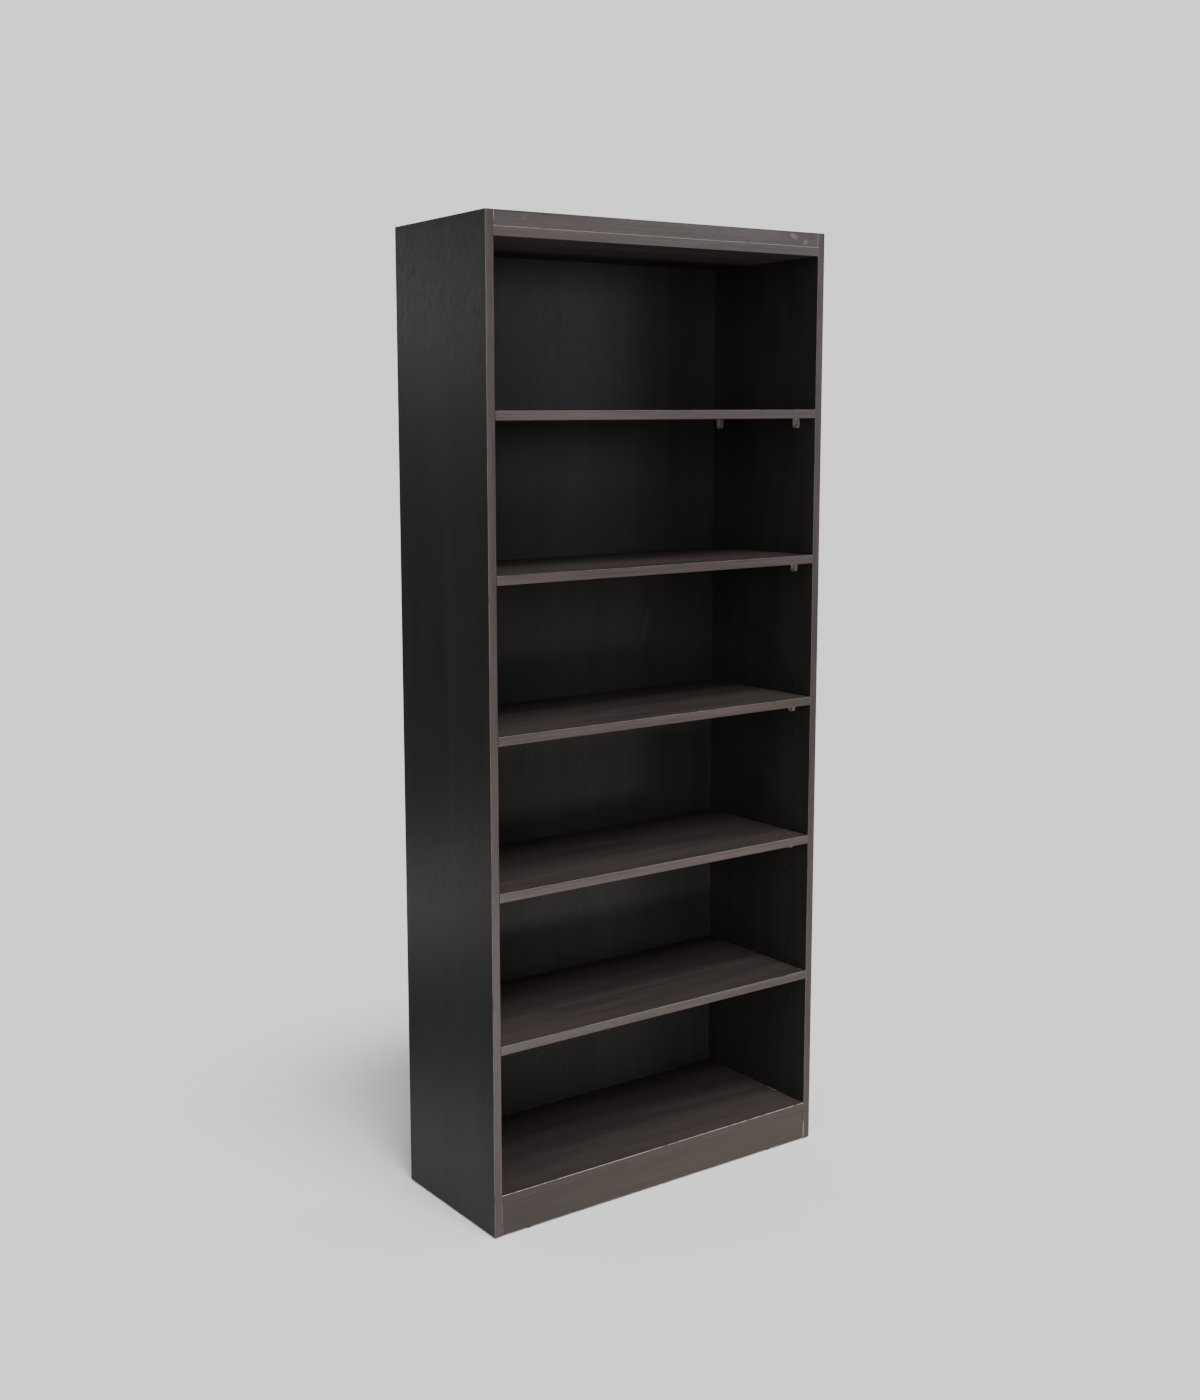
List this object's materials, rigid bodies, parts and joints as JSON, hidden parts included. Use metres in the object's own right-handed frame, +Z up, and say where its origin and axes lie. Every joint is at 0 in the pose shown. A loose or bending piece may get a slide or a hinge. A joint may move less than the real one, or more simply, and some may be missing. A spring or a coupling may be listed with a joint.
{
  "type": "bookcase",
  "caption": "Tall open bookcase with a dark laminate case, a fixed bottom shelf on a kick board, and loose shelves that rest on pins in rows of holes.",
  "frame": {"origin": "on the floor, under the centre of the outer box", "axes": "+Z up, the open front faces -Y, +X to the right of someone facing the front"},
  "size_m": [0.9144, 0.3492, 2.1336],
  "materials": {
    "laminate": "dark espresso wood-grain laminate on particle board, satin",
    "edge_band": "taupe-brown edge band, satin",
    "back_board": "dark paper-faced hardboard, satin in front and raw brown behind",
    "shelf_pin": "smoke-grey moulded plastic, glossy",
    "zinc_fitting": "die-cast zinc",
    "steel_fitting": "zinc-plated steel",
    "dowel": "plain beech",
    "glide": "dark brown moulded plastic"
  },
  "bodies": {
    "cabinet": {"back_nails": "steel_fitting", "back_panel": "back_board", "base_rail_rear": "laminate", "bottom_band": "edge_band", "bottom_shelf": "laminate", "cam_bolts": "steel_fitting", "cam_discs": "zinc_fitting", "dowels": "dowel", "glide_front_left": "glide", "glide_front_right": "glide", "glide_rear_left": "glide", "glide_rear_right": "glide", "header_rail": "laminate", "kick_board": "laminate", "side_band_left": "edge_band", "side_band_right": "edge_band", "side_panel_left": "laminate", "side_panel_right": "laminate", "top_band": "edge_band", "top_panel": "laminate"},
    "shelf_1": {"shelf_1": "laminate", "shelf_band_1": "edge_band"},
    "shelf_2": {"shelf_2": "laminate", "shelf_band_2": "edge_band"},
    "shelf_3": {"shelf_3": "laminate", "shelf_band_3": "edge_band"},
    "shelf_4": {"shelf_4": "laminate", "shelf_band_4": "edge_band"},
    "shelf_5": {"shelf_5": "laminate", "shelf_band_5": "edge_band"},
    "pin_1_front_left": {"pin_1_front_left": "shelf_pin"},
    "pin_1_front_right": {"pin_1_front_right": "shelf_pin"},
    "pin_1_rear_left": {"pin_1_rear_left": "shelf_pin"},
    "pin_1_rear_right": {"pin_1_rear_right": "shelf_pin"},
    "pin_2_front_left": {"pin_2_front_left": "shelf_pin"},
    "pin_2_front_right": {"pin_2_front_right": "shelf_pin"},
    "pin_2_rear_left": {"pin_2_rear_left": "shelf_pin"},
    "pin_2_rear_right": {"pin_2_rear_right": "shelf_pin"},
    "pin_3_front_left": {"pin_3_front_left": "shelf_pin"},
    "pin_3_front_right": {"pin_3_front_right": "shelf_pin"},
    "pin_3_rear_left": {"pin_3_rear_left": "shelf_pin"},
    "pin_3_rear_right": {"pin_3_rear_right": "shelf_pin"},
    "pin_4_front_left": {"pin_4_front_left": "shelf_pin"},
    "pin_4_front_right": {"pin_4_front_right": "shelf_pin"},
    "pin_4_rear_left": {"pin_4_rear_left": "shelf_pin"},
    "pin_4_rear_right": {"pin_4_rear_right": "shelf_pin"},
    "pin_5_front_left": {"pin_5_front_left": "shelf_pin"},
    "pin_5_front_right": {"pin_5_front_right": "shelf_pin"},
    "pin_5_rear_left": {"pin_5_rear_left": "shelf_pin"},
    "pin_5_rear_right": {"pin_5_rear_right": "shelf_pin"}
  },
  "joints": [
    {"name": "shelf_1_lift", "type": "slide", "parent": "cabinet", "child": "shelf_1", "axis": [0, 0, 1], "range_m": [0, 0.335]},
    {"name": "shelf_2_lift", "type": "slide", "parent": "cabinet", "child": "shelf_2", "axis": [0, 0, 1], "range_m": [0, 0.285]},
    {"name": "shelf_3_lift", "type": "slide", "parent": "cabinet", "child": "shelf_3", "axis": [0, 0, 1], "range_m": [0, 0.285]},
    {"name": "shelf_4_lift", "type": "slide", "parent": "cabinet", "child": "shelf_4", "axis": [0, 0, 1], "range_m": [0, 0.285]},
    {"name": "shelf_5_lift", "type": "slide", "parent": "cabinet", "child": "shelf_5", "axis": [0, 0, 1], "range_m": [0, 0.285]},
    {"name": "pin_1_front_left_pull", "type": "slide", "parent": "cabinet", "child": "pin_1_front_left", "axis": [1, 0, 0], "range_m": [0, 0.01]},
    {"name": "pin_1_front_right_pull", "type": "slide", "parent": "cabinet", "child": "pin_1_front_right", "axis": [-1, 0, 0], "range_m": [0, 0.01]},
    {"name": "pin_1_rear_left_pull", "type": "slide", "parent": "cabinet", "child": "pin_1_rear_left", "axis": [1, 0, 0], "range_m": [0, 0.01]},
    {"name": "pin_1_rear_right_pull", "type": "slide", "parent": "cabinet", "child": "pin_1_rear_right", "axis": [-1, 0, 0], "range_m": [0, 0.01]},
    {"name": "pin_2_front_left_pull", "type": "slide", "parent": "cabinet", "child": "pin_2_front_left", "axis": [1, 0, 0], "range_m": [0, 0.01]},
    {"name": "pin_2_front_right_pull", "type": "slide", "parent": "cabinet", "child": "pin_2_front_right", "axis": [-1, 0, 0], "range_m": [0, 0.01]},
    {"name": "pin_2_rear_left_pull", "type": "slide", "parent": "cabinet", "child": "pin_2_rear_left", "axis": [1, 0, 0], "range_m": [0, 0.01]},
    {"name": "pin_2_rear_right_pull", "type": "slide", "parent": "cabinet", "child": "pin_2_rear_right", "axis": [-1, 0, 0], "range_m": [0, 0.01]},
    {"name": "pin_3_front_left_pull", "type": "slide", "parent": "cabinet", "child": "pin_3_front_left", "axis": [1, 0, 0], "range_m": [0, 0.01]},
    {"name": "pin_3_front_right_pull", "type": "slide", "parent": "cabinet", "child": "pin_3_front_right", "axis": [-1, 0, 0], "range_m": [0, 0.01]},
    {"name": "pin_3_rear_left_pull", "type": "slide", "parent": "cabinet", "child": "pin_3_rear_left", "axis": [1, 0, 0], "range_m": [0, 0.01]},
    {"name": "pin_3_rear_right_pull", "type": "slide", "parent": "cabinet", "child": "pin_3_rear_right", "axis": [-1, 0, 0], "range_m": [0, 0.01]},
    {"name": "pin_4_front_left_pull", "type": "slide", "parent": "cabinet", "child": "pin_4_front_left", "axis": [1, 0, 0], "range_m": [0, 0.01]},
    {"name": "pin_4_front_right_pull", "type": "slide", "parent": "cabinet", "child": "pin_4_front_right", "axis": [-1, 0, 0], "range_m": [0, 0.01]},
    {"name": "pin_4_rear_left_pull", "type": "slide", "parent": "cabinet", "child": "pin_4_rear_left", "axis": [1, 0, 0], "range_m": [0, 0.01]},
    {"name": "pin_4_rear_right_pull", "type": "slide", "parent": "cabinet", "child": "pin_4_rear_right", "axis": [-1, 0, 0], "range_m": [0, 0.01]},
    {"name": "pin_5_front_left_pull", "type": "slide", "parent": "cabinet", "child": "pin_5_front_left", "axis": [1, 0, 0], "range_m": [0, 0.01]},
    {"name": "pin_5_front_right_pull", "type": "slide", "parent": "cabinet", "child": "pin_5_front_right", "axis": [-1, 0, 0], "range_m": [0, 0.01]},
    {"name": "pin_5_rear_left_pull", "type": "slide", "parent": "cabinet", "child": "pin_5_rear_left", "axis": [1, 0, 0], "range_m": [0, 0.01]},
    {"name": "pin_5_rear_right_pull", "type": "slide", "parent": "cabinet", "child": "pin_5_rear_right", "axis": [-1, 0, 0], "range_m": [0, 0.01]}
  ]
}
